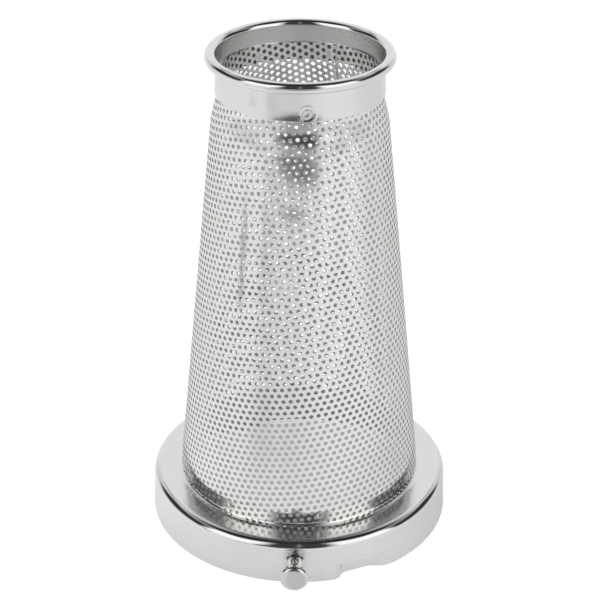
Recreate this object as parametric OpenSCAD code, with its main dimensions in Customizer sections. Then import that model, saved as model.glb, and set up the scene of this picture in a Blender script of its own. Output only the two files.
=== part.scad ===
// Perforated strainer cone with a bayonet base flange and a rolled outlet collar.
//
// Four formed stainless pieces welded and riveted into one rigid screen:
// a pressed base flange with an upturned neck and two inward bayonet lugs,
// a rolled conical screen, a short outlet collar with a rolled bead, and a
// turned grip knob riveted through the flange's skirt.
// The real screen sheet is perforated all over with round holes of 1.5 mm on
// a staggered 2.5 mm pitch, 33 % open. Here it is plain sheet of the same size.
//
// Millimetres, +Z up along the cone's axis. The origin is the centre of the
// skirt's rim circle, the plane the part stands on. The knob points to about -Y.
// Angles around the axis are counted from -Y towards +X.
// Name endings: _d diameter, _r radius, _h height, _t thickness, _w width,
// _l length, _z height above the rim.

/* [Base flange] */
// Outside diameter of the skirt at its rim
flange_d = 106.4; // [100:0.1:110]
// Height of the plate's top face above the rim
flange_h = 15.8; // [14:0.1:18]
// Thickness of the pressed sheet
flange_t = 0.8; // [0.6:0.05:1]
// Outside radius of the shoulder between plate and skirt
shoulder_r = 3; // [2:0.1:4]
// How much narrower in radius the skirt is under the shoulder than at the rim
skirt_flare = 0.5; // [0.2:0.05:0.8]
// Height of the upturned neck above the plate's top face
neck_h = 6.6; // [5:0.1:8]
// Radius of the bend at the neck's foot
neck_bend = 1.6; // [1.4:0.1:2]

/* [Bayonet lugs] */
// Number of lugs, evenly spaced
lug_count = 2; // [1:1:3]
// Angle at which the first lug starts
lug_start = 13; // [12:0.5:30]
// Angle a lug takes up, its two ends included
lug_sweep = 24; // [20:0.5:28]
// Angle of the steep end
lug_lead = 5.8; // [2:0.1:7]
// Angle of the long fading end
lug_fade = 10.5; // [4:0.5:12]
// Height of the step over a lug, above the rim
lug_h = 6; // [5:0.1:7]
// How far a lug reaches inwards
lug_depth = 3.5; // [2.5:0.1:4.5]

/* [Screen] */
// Outside diameter of the cone on the plate's level
screen_base_d = 86; // [85:0.1:87]
// Growth of the radius for each millimetre down the cone
screen_taper = 0.0984; // [0.092:0.0001:0.1]
// Thickness of the perforated sheet
screen_t = 0.5; // [0.4:0.05:0.8]
// Angle of the welded seam
seam_angle = 153; // [0:1:359]
// Width of the seam weld
seam_w = 0.8; // [0.6:0.1:1.5]

/* [Outlet collar] */
// Bore of the collar
collar_d = 55; // [54.5:0.1:55.5]
// Thickness of the collar's sheet
collar_t = 0.55; // [0.4:0.05:0.7]
// Height of the collar's lower edge above the rim
collar_z = 160.9; // [159:0.1:163]
// Overall height, to the top of the bead
overall_h = 174.8; // [173:0.1:178]
// Outside diameter of the rolled bead's section
bead_d = 3.9; // [3.2:0.1:4.4]
// How far the screen's end reaches into the collar
collar_lap = 6.3; // [4:0.1:6.5]
// Bell of the collar's lower edge, in radius
collar_bell = 0.25; // [0.1:0.05:0.3]

/* [Knob] */
// Height of the knob's axis above the rim
knob_z = 8.1; // [6:0.1:8.2]
// Angle of the knob around the axis
knob_angle = -1.5; // [-4:0.1:4]
// How far the knob stands out from the skirt
knob_l = 10.1; // [9:0.1:13]
// Diameter of the head
knob_head_d = 9.8; // [8.4:0.1:10]
// Width of the bevel round the head's face, measured across the face
knob_bevel = 1.8; // [1:0.1:2]
// Diameter of the waist
knob_waist_d = 6.5; // [5.6:0.1:6.6]
// Diameter of the foot on the skirt
knob_foot_d = 7.6; // [7:0.1:8]
// Diameter of the riveted shank
knob_shank_d = 4.5; // [3.5:0.1:5]

/* [Spot welds] */
// Number of welds around the collar
collar_welds = 7; // [4:1:9]
// Angle of the first collar weld
collar_weld_angle = 4.7; // [0:0.1:30]
// Number of welds around the neck
neck_welds = 8; // [4:1:12]
// Angle of the first neck weld
neck_weld_angle = 10; // [0:0.5:30]
// Diameter of a weld nugget
weld_d = 3.2; // [2.5:0.1:3.6]

/* [Hidden] */

ring_facets = 180;
seat_gap = 0.05;                              // between nested sheets
weld_gap = 0.01;                              // round each weld in its cutout
shank_gap = 0.02;                             // round the shank in its hole

// Skirt
rim_r = flange_d / 2;
rim_land = 1.5;                               // upright part of the skirt at the rim
skirt_top_r = rim_r - skirt_flare;
skirt_top_z = flange_h - shoulder_r - 0.4;    // just under the shoulder
shoulder_bulge = 0.1;                         // shoulder's overhang past the skirt's top
lug_r = rim_r - 0.15;                         // outside of a lug's wall at its two ends

// Cone radius, outside, at a height above the rim
function cone_r(z) = screen_base_d / 2 - screen_taper * (z - flange_h);

// Neck and the screen's band around it
neck_top = flange_h + neck_h;
band_swell = 0.05;                            // band's outside beyond the cone
band_r = cone_r(neck_top) + band_swell;
neck_r = band_r - screen_t - seat_gap;        // neck's outside
neck_weld_z = flange_h + 4;

// Collar and the screen's end in it
collar_r = collar_d / 2;
bead_r = bead_d / 2;
bead_centre = [collar_r + bead_r, overall_h - bead_r];
lap_top = collar_z + collar_lap;              // screen's upper edge
bell_top = lap_top + 0.2;                     // the collar is upright from here up
tip_r = collar_r - seat_gap;                  // screen's outside in the collar
necking_h = 12;                               // height of the necked-in part
collar_weld_z = collar_z + 2.5;

weld_reach = 4;                               // weld plugs' reach either side of a sheet
weld_proud = 0.1;                             // welds' height over the outer sheet

// ---- helpers -------------------------------------------------------------

// Points along an arc
function arc(centre, radius, from, to, steps) =
    [for (i = [0:steps])
        let (angle = from + (to - from) * i / steps)
        centre + radius * [cos(angle), sin(angle)]];

function reversed(points) = [for (i = [len(points) - 1:-1:0]) points[i]];
function unit(vector) = vector / norm(vector);
function left_normal(from, to) = let (along = unit(to - from)) [-along[1], along[0]];

// The path moved to its left, with mitred corners
function left_of(path, distance) =
    [for (i = [0:len(path) - 1])
        let (last_start = len(path) - 2,
             before = left_normal(path[max(i, 1) - 1], path[max(i, 1)]),
             after = left_normal(path[min(i, last_start)], path[min(i, last_start) + 1]),
             mitre = unit(before + after))
        path[i] + mitre * distance / (mitre * before)];

// Area between two lines that run the same way
module between(line, other) { polygon(concat(line, reversed(other))); }

// A sheet whose right-hand face follows the path
module sheet(path, thickness) { between(path, left_of(path, thickness)); }

// A point of the plan view
function plan(radius, angle) = [radius * sin(angle), -radius * cos(angle)];

// Places a child, built along +X from the axis, at an angle from -Y
module at_angle(angle) { rotate([0, 0, angle - 90]) children(); }

// Round plugs along the radius, for weld nuggets and their seats
module plugs(count, first, z, inner, outer, diameter) {
    for (i = [0:count - 1])
        at_angle(first + i * 360 / count)
            translate([inner, 0, z]) rotate([0, 90, 0])
                cylinder(h = outer - inner, d = diameter, $fn = 32);
}

module neck_plugs(inner, outer, diameter = weld_d) {
    plugs(neck_welds, neck_weld_angle, neck_weld_z, inner, outer, diameter);
}

module collar_plugs(middle, diameter = weld_d) {
    plugs(collar_welds, collar_weld_angle, collar_weld_z,
          middle - weld_reach, middle + weld_reach, diameter);
}

// ---- base flange -----------------------------------------------------------

// Outer face in [radius, z], from the rim up the skirt and in to the neck's top
flange_path = concat(
    [[rim_r, 0], [rim_r, rim_land], [skirt_top_r, skirt_top_z]],
    arc([skirt_top_r + shoulder_bulge - shoulder_r, flange_h - shoulder_r], shoulder_r, 0, 90, 12),
    arc([neck_r + neck_bend, flange_h + neck_bend], neck_bend, 270, 180, 8),
    [[neck_r, neck_top]]);

lug_starts = [for (i = [0:lug_count - 1]) lug_start + i * 360 / lug_count];

// Cosine ease from 0 to 1
function ease(share) = (1 - cos(180 * share)) / 2;

// How far a lug's wall is set in, at an angle counted from the lug's start
function lug_set(turn) =
    turn < lug_lead ? lug_depth * ease(turn / lug_lead) :
    turn > lug_sweep - lug_fade ? lug_depth * ease((lug_sweep - turn) / lug_fade) :
    lug_depth;

// Stations along a lug: steep end, level part, fading end
lug_turns = concat(
    [for (i = [0:6]) lug_lead * i / 6],
    [for (i = [1:8]) lug_lead + (lug_sweep - lug_lead - lug_fade) * i / 8],
    [for (i = [1:9]) lug_sweep - lug_fade + lug_fade * i / 9]);

// Outside line of a lug in plan view, moved in by a distance
function lug_line(start, inset) =
    [for (turn = lug_turns) plan(lug_r - lug_set(turn) - inset, start + turn)];

// The same stretch on a plain circle
function lug_arc(start, radius) = [for (turn = lug_turns) plan(radius, start + turn)];

// Cuts the skirt away in front of a lug, from 1 below the rim to 2 outside it
module lug_window(start) {
    translate([0, 0, -1])
        linear_extrude(height = lug_h + 1)
            between(lug_line(start, 0), lug_arc(start, rim_r + 2));
}

// Set-in wall of a lug, and the step that joins it to the skirt above
module lug(start) {
    linear_extrude(height = lug_h + flange_t)
        between(lug_line(start, 0), lug_line(start, flange_t));
    translate([0, 0, lug_h])
        linear_extrude(height = flange_t)
            between(lug_line(start, flange_t / 2), lug_arc(start, lug_r - flange_t / 2));
}

module knob_hole() {
    at_angle(knob_angle) translate([rim_r - 4, 0, knob_z]) rotate([0, 90, 0])
        cylinder(h = 8, d = knob_shank_d + 2 * shank_gap, $fn = 48);
}

// Pressed ring: skirt, shoulder, plate, upturned neck and bayonet lugs
module base_flange() {
    color([0.80, 0.80, 0.79])
    union() {
        difference() {
            rotate_extrude($fn = ring_facets) sheet(flange_path, flange_t);
            for (start = lug_starts) lug_window(start);
            knob_hole();
            neck_plugs(neck_r - 3, neck_r + 1);
        }
        for (start = lug_starts) lug(start);
    }
}

// ---- screen ----------------------------------------------------------------

// Outer face in [radius, z], from the foot up to the end in the collar
screen_path = concat(
    arc([neck_r + neck_bend, flange_h + neck_bend], neck_bend - seat_gap - screen_t, 235, 180, 5),
    [[band_r, neck_top]],
    [for (i = [0:8])
        let (share = i / 8, z = collar_z - necking_h * (1 - share))
        [cone_r(z) - (cone_r(collar_z) - tip_r) * share * share * (3 - 2 * share), z]],
    [[tip_r, lap_top]]);

module screen_sheet() {
    rotate_extrude($fn = ring_facets) sheet(screen_path, screen_t);
}

// Upright slab from the axis outwards through the seam
module seam_slab(width) {
    at_angle(seam_angle)
        translate([0, -width / 2, 0]) cube([rim_r, width, overall_h + 10]);
}

// Sheet rolled to a cone: expanded over the neck, necked in under the collar
module screen_cone() {
    color([0.74, 0.75, 0.75])
    difference() {
        screen_sheet();
        seam_slab(seam_w);
        neck_plugs(band_r - weld_reach, band_r + weld_reach);
        collar_plugs(tip_r);
    }
}

// Butt weld that closes the rolled sheet along one line
module screen_seam_weld() {
    color([0.62, 0.62, 0.61])
    intersection() {
        screen_sheet();
        seam_slab(seam_w - 2 * weld_gap);
    }
}

// ---- collar ----------------------------------------------------------------

// Section of the rolled bead, open below between the curl's end and the wall
module bead_section() {
    difference() {
        translate(bead_centre) circle(r = bead_r, $fn = 64);
        translate(bead_centre) circle(r = bead_r - collar_t, $fn = 64);
        translate(bead_centre)
            polygon([[0, 0], [-2 * bead_r, -2.6 * bead_r], [-2 * bead_r, -0.05]]);
    }
}

// Short sleeve over the screen's end, with its upper edge rolled outwards
module outlet_collar() {
    outer_r = collar_r + collar_t;
    color([0.84, 0.84, 0.83])
    difference() {
        rotate_extrude($fn = ring_facets) {
            sheet([[outer_r + collar_bell, collar_z],
                   [outer_r, bell_top],
                   [outer_r, bead_centre[1]]], collar_t);
            bead_section();
        }
        collar_plugs(collar_r);
    }
}

// ---- spot welds --------------------------------------------------------------

// Nuggets that join the collar to the screen's end
module collar_spot_welds() {
    color([0.58, 0.58, 0.57])
    intersection() {
        collar_plugs(tip_r, weld_d - 2 * weld_gap);
        rotate_extrude($fn = ring_facets)
            translate([tip_r - screen_t, collar_z])
                square([screen_t + seat_gap + collar_t + collar_bell + weld_proud, collar_lap]);
    }
}

// Nuggets that join the screen's foot to the flange's neck
module neck_spot_welds() {
    color([0.58, 0.58, 0.57])
    intersection() {
        neck_plugs(neck_r - weld_reach, neck_r + weld_reach, weld_d - 2 * weld_gap);
        rotate_extrude($fn = ring_facets)
            translate([neck_r - flange_t, flange_h])
                square([flange_t + seat_gap + screen_t + weld_proud, neck_h]);
    }
}

// ---- knob ------------------------------------------------------------------

// Half section in [radius, distance out from the skirt's face]
module knob_section() {
    head_r = knob_head_d / 2;
    waist_r = knob_waist_d / 2;
    foot_r = knob_foot_d / 2;
    shank_r = knob_shank_d / 2;
    rivet_seat = -flange_t - 0.16;   // rivet head's face towards the skirt
    rivet_end = rivet_seat - 1.1;
    waist_from = 2.1;
    head_back = knob_l - 2.8;
    waist_to = head_back - 0.1;
    bevel_from = knob_l - 1.45;

    rivet = [[0, rivet_end], [2.2, rivet_end], [3.2, rivet_seat - 0.6],
             [3.4, rivet_seat], [shank_r, rivet_seat], [shank_r, 0.02]];
    foot = [[foot_r - 0.1, 0.02], [foot_r, 0.12], [foot_r, 0.25],
            [foot_r - 0.45, 1.0], [foot_r - 0.45, 1.1]];
    foot_bead = [for (angle = [150:-30:0])
        [foot_r - 0.5 + 0.25 * sin(angle), 1.5 + 0.35 * cos(angle)]];
    // flares by 0.15 in radius towards both ends
    waist = [for (i = [0:8])
        let (share = i / 8)
        [waist_r + 0.15 * pow(abs(2 * share - 1), 2.5),
         waist_from + (waist_to - waist_from) * share]];
    head = [[head_r - 0.5, head_back], [head_r, head_back + 0.3], [head_r, bevel_from]];
    bevel = [for (i = [1:5])
        let (angle = 90 * i / 5)
        [head_r - knob_bevel * (1 - cos(angle)),
         bevel_from + (knob_l - bevel_from) * sin(angle)]];

    polygon(concat(rivet, foot, foot_bead, waist, head, bevel, [[0, knob_l]]));
}

// Turned grip knob with a waist, riveted through the skirt
module grip_knob() {
    // skirt's outside radius at the knob
    skirt_r = rim_r - skirt_flare * (knob_z - rim_land) / (skirt_top_z - rim_land);
    color([0.78, 0.78, 0.77])
    at_angle(knob_angle) translate([skirt_r, 0, knob_z]) rotate([0, 90, 0])
        rotate_extrude($fn = 72) knob_section();
}

base_flange();
screen_cone();
outlet_collar();
grip_knob();
screen_seam_weld();
collar_spot_welds();
neck_spot_welds();
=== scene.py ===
"""Perforated strainer cone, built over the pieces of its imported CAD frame.

The cone stands on z = 0 with its axis along Z. Angles are in degrees from -Y, the front,
towards +X. Outlines and sizes are in millimetres, and objects are made in metres.
"""

import math

import bpy
import numpy as np
from mathutils import Matrix, Vector


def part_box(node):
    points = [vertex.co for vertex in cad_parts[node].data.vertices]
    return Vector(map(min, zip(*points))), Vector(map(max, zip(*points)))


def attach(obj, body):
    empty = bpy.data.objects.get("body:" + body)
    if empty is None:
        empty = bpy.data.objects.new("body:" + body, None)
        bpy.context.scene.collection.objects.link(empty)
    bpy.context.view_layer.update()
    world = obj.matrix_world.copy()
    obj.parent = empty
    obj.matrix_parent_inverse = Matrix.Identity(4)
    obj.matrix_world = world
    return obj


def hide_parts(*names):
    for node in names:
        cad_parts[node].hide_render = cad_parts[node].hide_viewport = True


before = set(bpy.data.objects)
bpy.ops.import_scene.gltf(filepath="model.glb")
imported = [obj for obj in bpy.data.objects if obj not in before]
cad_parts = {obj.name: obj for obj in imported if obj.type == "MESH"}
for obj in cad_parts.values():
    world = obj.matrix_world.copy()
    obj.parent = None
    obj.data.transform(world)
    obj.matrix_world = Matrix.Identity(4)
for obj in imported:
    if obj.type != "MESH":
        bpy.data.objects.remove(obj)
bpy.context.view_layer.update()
MM = 0.001
TAU = 2 * math.pi

# ---------------------------------------------------------------- sizes held by the CAD frame
low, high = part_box("base_flange")
RIM_R = round(max(high.x, high.y) / MM, 2)
NECK_TOP = high.z / MM
low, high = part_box("outlet_collar")
COLLAR_Z = low.z / MM
TOP_Z = high.z / MM
low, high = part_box("screen_cone")
LAP_TOP = high.z / MM
low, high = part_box("grip_knob")
KNOB_Z = (low.z + high.z) / 2 / MM
HEAD_R = (high.z - low.z) / 2 / MM

# ---------------------------------------------------------------- driving sizes
PLATE_Z = NECK_TOP - 6.6  # upper face of the flange's flat ring
FLANGE_T = 0.8
SCREEN_T = 0.5
COLLAR_T = 0.55
SEAT = 0.05  # gap between lapped sheets
FLARE = 0.5  # how much wider the skirt is at its foot
SHOULDER_R = 3.0
BEND_R = 1.6  # bend from the flat ring into the neck
TAPER = 0.0984  # radius lost per height
CONE_FOOT_R = 43.0
COLLAR_R = 27.5  # bore
BEAD_R = 1.95
BELL = 0.25  # how much the collar widens at its lower edge
NARROWING_H = 12.0  # height over which the screen narrows into the collar
SEAM_ANGLE = 153.0
SEAM_W = 0.8
SEAM_HALF_ANGLE = math.degrees(SEAM_W / 2 / 35.0)  # taken at a radius of 35


def cone_r(z):
    return CONE_FOOT_R - TAPER * (z - PLATE_Z)


BAND_R = cone_r(NECK_TOP) + 0.05
NECK_R = BAND_R - SCREEN_T - SEAT
TIP_R = COLLAR_R - SEAT
BEND_CENTRE = (NECK_R + BEND_R, PLATE_Z + BEND_R)

# spot welds
WELD_R = 1.6
COLLAR_WELD_ANGLES = 4.7 + 360 / 7 * np.arange(7)
COLLAR_WELD_Z = COLLAR_Z + 2.5
COLLAR_WELD_FORCES = [1.0, 0.35, 0.5, 0.7, 0.45, 0.6, 0.35]  # how hard each was pressed
NECK_WELD_ANGLES = 10.0 + 360 / 8 * np.arange(8)
NECK_WELD_Z = PLATE_Z + 4


# ---------------------------------------------------------------- shared helpers
def arc_at(centre, radius, angles):
    """Points of an arc in the (radius, z) plane at the given angles."""
    return [
        (
            centre[0] + radius * math.cos(math.radians(angle)),
            centre[1] + radius * math.sin(math.radians(angle)),
        )
        for angle in angles
    ]


def arc(centre, radius, start, end, steps):
    return arc_at(centre, radius, np.linspace(start, end, steps + 1))


def column(radius, heights):
    return [(radius, z) for z in heights]


def turned(radius, angle, z):
    """Points in space from cylindrical coordinates."""
    turn = np.radians(angle)
    return np.stack([radius * np.sin(turn), -radius * np.cos(turn), z + 0 * radius], -1)


def turn_from(angle, centre):
    """Signed angle from centre, in -180 to 180."""
    return (angle - centre + 180) % 360 - 180


def arc_from(angle, centre, radius):
    """Signed length along the circle from centre."""
    return np.radians(turn_from(angle, centre)) * radius


def weld_distance(angle, z, radius, weld_angles, weld_z):
    """Distance along the sheet to the nearest weld."""
    nearest = np.full(angle.shape, 99.0)
    for weld_angle in weld_angles:
        nearest = np.minimum(nearest, np.hypot(arc_from(angle, weld_angle, radius), z - weld_z))
    return nearest


def smooth_step(x):
    x = np.clip(x, 0, 1)
    return x * x * (3 - 2 * x)


def soften(values, rounds):
    """Rounds the corners of a row of values or points in place, keeping its ends."""
    for _ in range(rounds):
        values[1:-1] = (values[:-2] + 2 * values[1:-1] + values[2:]) / 4


def waves(angle, y, seed):
    """Smooth repeatable waves in about -1 to 1 that close round the circle."""
    rng = np.random.default_rng(seed)
    total = 0
    weights = 0
    for i in range(6):
        turns = rng.integers(1, 5 + 2 * i)
        slant = rng.uniform(0.3, 1.0 + 0.5 * i)
        weight = 1 / (1 + 0.6 * i)
        phase = TAU * turns / 360 * angle + slant * 0.05 * y * (1 + i)
        wave = weight * np.sin(phase + rng.uniform(0, TAU))
        total = total + wave * np.cos(slant * 0.04 * y + rng.uniform(0, TAU))
        weights += weight
    return total / weights * 1.6


def new_object(name, vertices, faces, normals=None):
    """A smooth object from millimetres. normals holds one unit vector per face corner."""
    mesh = bpy.data.meshes.new(name)
    mesh.from_pydata((np.asarray(vertices, float) * MM).tolist(), [], faces)
    mesh.update()
    mesh.polygons.foreach_set("use_smooth", [True] * len(mesh.polygons))
    if normals is not None:
        mesh.normals_split_custom_set(normals.tolist())
    mesh.validate(clean_customdata=False)
    piece = bpy.data.objects.new(name, mesh)
    bpy.context.scene.collection.objects.link(piece)
    return piece


def grid_quads(rows, columns, open_rows=False, open_columns=False):
    """Faces over a grid of points that closes on itself both ways unless opened."""
    i, j = np.meshgrid(
        np.arange(rows - open_rows), np.arange(columns - open_columns), indexing="ij"
    )
    here = i * columns
    beyond = (i + 1) % rows * columns
    j_next = (j + 1) % columns
    quads = [here + j, beyond + j, beyond + j_next, here + j_next]
    return np.stack(quads, -1).reshape(-1, 4)


def swept_grid(profile, angles):
    """Radius, z and angle of a (radius, z) outline repeated at each angle."""
    radius = np.repeat(profile[:, 0][None], len(angles), 0)
    z = np.repeat(profile[:, 1][None], len(angles), 0)
    return radius, z, np.repeat(angles[:, None], len(profile), 1)


def swept(name, profile, angles, move):
    """A closed outline swept round the axis. move gives each point's shift in radius and z."""
    radius, z, angle = swept_grid(profile, angles)
    shift_r, shift_z = move(radius, z, angle)
    points = turned(radius + shift_r, angle, z + shift_z)
    quads = grid_quads(len(angles), len(profile))
    return new_object(name, points.reshape(-1, 3), quads.tolist())


def capped(profile, angles, place, move=None):
    """Vertices and faces of a solid whose (radius, length) outline starts and ends on its axis."""
    radius, length, angle = swept_grid(profile[1:-1], angles)
    if move is not None:
        shift_r, shift_l = move(radius, length, angle)
        radius = radius + shift_r
        length = length + shift_l
    sides = place(radius, length, angle).reshape(-1, 3)
    tips = place(profile[[0, -1], 0], profile[[0, -1], 1], np.zeros(2))
    count = len(angles)
    rows = len(profile) - 2
    faces = grid_quads(count, rows, open_columns=True).tolist()
    first_tip = len(sides)
    last = rows - 1
    starts = [(i * rows, (i + 1) % count * rows) for i in range(count)]
    faces += [(first_tip, beyond, here) for here, beyond in starts]
    faces += [(first_tip + 1, here + last, beyond + last) for here, beyond in starts]
    return np.r_[sides, tips], faces


def spoke(spoke_angle, spoke_z):
    """Places a small turned shape on the horizontal spoke at an angle and a height."""
    turn = math.radians(spoke_angle)
    outward = np.array([math.sin(turn), -math.cos(turn), 0.0])
    side = np.array([math.cos(turn), math.sin(turn), 0.0])
    up = np.array([0.0, 0.0, 1.0])

    def place(radius, length, angle):
        angle = np.radians(angle)
        return (
            outward * length[..., None]
            + side * (radius * np.cos(angle))[..., None]
            + up * (radius * np.sin(angle))[..., None]
            + np.array([0, 0, spoke_z])
        )

    return place


def sweep_angles(coarse, fine, zones):
    """Angles round the circle, with the fine step within the zones (start, end)."""
    angles = []
    angle = 0.0
    while angle < 360 - 1e-6:
        angles.append(angle)
        inside = any(start - 1e-9 <= angle < end - 1e-9 for start, end in zones)
        following = angle + (fine if inside else coarse)
        if not inside:
            for start, _ in zones:
                for edge in (start, start + 360):
                    if angle + 1e-9 < edge < following:
                        following = edge
        angle = following
    return np.array(angles)


# ---------------------------------------------------------------- base flange
LUG_ANGLES = (0.0, 180.0)
LUG_H = 6.0
LUG_DEPTH = 3.5
LUG_TABLE_DEPTH = 3.4
LUG_CORNER_R = 1.8
LUG_TABLE = np.array([  # angle past the lug's origin, depth pressed in
    (12.6, 0.0), (13.6, 0.1), (14.8, 0.35), (15.6, 0.85), (16.2, 1.5), (16.8, 2.25),
    (17.5, 2.8), (18.3, 3.15), (19.2, 3.32), (20.7, 3.4), (25.8, 3.4), (28.0, 3.3),
    (29.4, 3.02), (30.7, 2.5), (32.0, 1.85), (33.0, 1.25), (34.0, 0.75), (35.0, 0.5),
    (36.0, 0.33), (37.5, 0.15), (39.0, 0.0),
])
lug_angles = np.arange(10.0, 42.01, 0.1)
lug_depths = np.interp(lug_angles, LUG_TABLE[:, 0], LUG_TABLE[:, 1])
lug_depths *= LUG_DEPTH / LUG_TABLE_DEPTH
soften(lug_depths, 30)

PINCH = 0.1  # the skirt's pinch under the shoulder
SKIRT_TOP = PLATE_Z - SHOULDER_R - 0.4
SHOULDER_CENTRE = (RIM_R - FLARE + PINCH - SHOULDER_R, PLATE_Z - SHOULDER_R)
# heights of the skirt's rows, close together round the top of the lugs
OUTER_ROWS = np.r_[
    np.arange(0.35, 5.0, 0.45), 5.25, 5.4, 5.52, np.arange(5.6, 5.8, 0.03),
    np.arange(5.8, 6.65, 0.06), np.arange(6.75, 7.1, 0.15), np.arange(7.3, SKIRT_TOP - 0.3, 0.5),
]
INNER_ROWS = np.r_[
    SKIRT_TOP - 0.1, np.arange(SKIRT_TOP - 0.6, 7.4, -0.7), np.arange(7.3, 6.85, -0.1),
    np.arange(6.85, 6.35, -0.06), np.arange(6.3, 0.5, -0.6),
]


def lug_depth(angle, z):
    """How far the skirt is pressed in, before the step at a lug's top cuts it off."""
    depth = np.zeros_like(angle)
    rise = np.clip(z - (LUG_H - LUG_CORNER_R), 0, LUG_CORNER_R - 0.02)
    inset = LUG_CORNER_R - np.sqrt(LUG_CORNER_R * LUG_CORNER_R - rise * rise)
    shift = np.degrees(inset / RIM_R)
    for lug_angle in LUG_ANGLES:
        past = (angle - lug_angle) % 360
        lead = np.interp(past - shift, lug_angles, lug_depths, left=0, right=0)
        tail = np.interp(past + 0.6 * shift, lug_angles, lug_depths, left=0, right=0)
        depth = np.maximum(depth, np.minimum(lead, tail))
    return depth


def skirt_r(z):
    return RIM_R - FLARE * np.clip((z - 1.5) / (SKIRT_TOP - 1.5), 0, 1)


def flange_outlines():
    """The outer face from the foot up to the neck's top, then the inner face back down."""
    shoulder_r = SHOULDER_CENTRE[0]
    inner_r = NECK_R - FLANGE_T
    foot_r = 0.22
    foot_in_r = 0.2
    lip_r = 0.25
    neck_rows = np.linspace(PLATE_Z + BEND_R + 0.15, NECK_TOP - 0.45, 9)
    pinch_rows = np.linspace(SKIRT_TOP - 0.25, SKIRT_TOP + 0.4, 9)

    outer = arc_at((RIM_R - foot_r, foot_r), foot_r, (-90, -67, -45, -22, 0))
    outer += [(skirt_r(z), z) for z in OUTER_ROWS]
    outer += [
        (skirt_r(z) + PINCH * smooth_step((z - SKIRT_TOP + 0.15) / 0.55), z) for z in pinch_rows
    ]
    outer += arc(SHOULDER_CENTRE, SHOULDER_R, 4, 90, 26)
    outer += [(r, PLATE_Z) for r in np.linspace(shoulder_r - 0.12, BEND_CENTRE[0] + 0.12, 12)]
    outer += arc(BEND_CENTRE, BEND_R, 270, 180, 12) + column(NECK_R, neck_rows)

    inner = arc((NECK_R - lip_r, NECK_TOP - lip_r), lip_r, 0, 90, 3)
    inner += arc((inner_r + lip_r, NECK_TOP - lip_r), lip_r, 90, 180, 3)
    inner += column(inner_r, neck_rows[::-1])
    inner += arc(BEND_CENTRE, BEND_R + FLANGE_T, 180, 270, 12)
    ring_radii = np.linspace(BEND_CENTRE[0] + 0.15, shoulder_r - 0.15, 8)
    inner += [(r, PLATE_Z - FLANGE_T) for r in ring_radii]
    inner += arc(SHOULDER_CENTRE, SHOULDER_R - FLANGE_T, 90, 0, 12)
    inner += [(skirt_r(z) - FLANGE_T, z) for z in INNER_ROWS]
    foot_in = (RIM_R - FLANGE_T + foot_in_r, foot_in_r)
    inner += arc_at(foot_in, foot_in_r, (180, 202, 225, 247, 270))
    return outer, inner


def build_flange():
    outer_points, inner_points = flange_outlines()
    outer = np.arange(len(outer_points) + len(inner_points)) < len(outer_points)
    shoulder_r = SHOULDER_CENTRE[0]

    def press(radius, z, angle):
        """Presses the lugs in and adds slow waves of some hundredths."""
        skirt = radius > shoulder_r - 0.01
        # the sheet bends in round a small radius just over the step, and the step is flat
        step_z = np.where(outer, LUG_H - 0.28, LUG_H - 0.28 + FLANGE_T)
        bend = np.where(outer, 0.8, 0.25)
        full = lug_depth(angle, np.where(outer, z, z - FLANGE_T))
        below = np.clip(step_z + bend - z, 0, bend)
        lip = bend - np.sqrt(np.maximum(bend * bend - below * below, 0))
        stepped = lip + (np.maximum(full, lip) - lip) * smooth_step((step_z - z) / 0.12)
        depth = np.minimum(stepped, full) * skirt * (z < 8)
        # the pressing draws the sheet in a little above a lug
        fade = np.exp(-(((z - step_z - 1.3) / 1.2) ** 2)) * (z > step_z + bend)
        draw = 0.06 * lug_depth(angle, 0 * z) / LUG_DEPTH * fade * skirt
        skirt_wave = 0.018 * waves(angle, z, 11) * (z > 0.6) - 0.02
        plate = (radius > BEND_CENTRE[0]) & (radius < shoulder_r + 0.5) & (z > PLATE_Z - 2)
        plate_wave = 0.035 * waves(angle, radius, 12) * smooth_step((shoulder_r - radius) / 2)
        shift_r = -depth - draw + np.where(radius > shoulder_r, skirt_wave, 0)
        return shift_r, np.where(plate, plate_wave - 0.03, 0)

    zones = [(angle + 11, angle + 40) for angle in LUG_ANGLES]
    profile = np.array(outer_points + inner_points)
    return swept("flange", profile, sweep_angles(1.5, 0.28, zones), press)


# ---------------------------------------------------------------- outlet collar, rolled bead
BEAD_CENTRE = (COLLAR_R + BEAD_R, TOP_Z - BEAD_R)
WALL_TOP = BEAD_CENTRE[1] - 1.0


def wall_r(z):
    """Outer radius of the collar's wall, belled at its lower edge."""
    return COLLAR_R + COLLAR_T + BELL * np.clip(1 - (z - COLLAR_Z) / 4.0, 0, 1) ** 1.5


def collar_outline():
    """Counterclockwise: out along the lip, up the outside, round the curl, down the bore."""
    lip_r = 0.13
    lip_z = COLLAR_Z + lip_r
    bore = column(COLLAR_R, np.linspace(COLLAR_Z + 0.3, WALL_TOP, 14))
    curl = arc(BEAD_CENTRE, BEAD_R, 180, -126, 68)
    curl_inside = arc(BEAD_CENTRE, BEAD_R - COLLAR_T, -126, 176, 26)
    wall_rows = np.r_[
        np.linspace(WALL_TOP, COLLAR_WELD_Z + 3.4, 10),
        np.arange(COLLAR_WELD_Z + 3.2, COLLAR_Z + 0.12, -0.16),
    ]
    wall = [(wall_r(z), z) for z in wall_rows]
    lip = arc((wall_r(COLLAR_Z) - lip_r, lip_z), lip_r, 0, -90, 4)
    lip += [(COLLAR_R + 0.3, COLLAR_Z)]
    lip += arc((COLLAR_R + lip_r + 0.02, lip_z), lip_r, 270, 180, 4)
    return np.array((bore + curl + curl_inside + wall + lip)[::-1])


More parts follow.
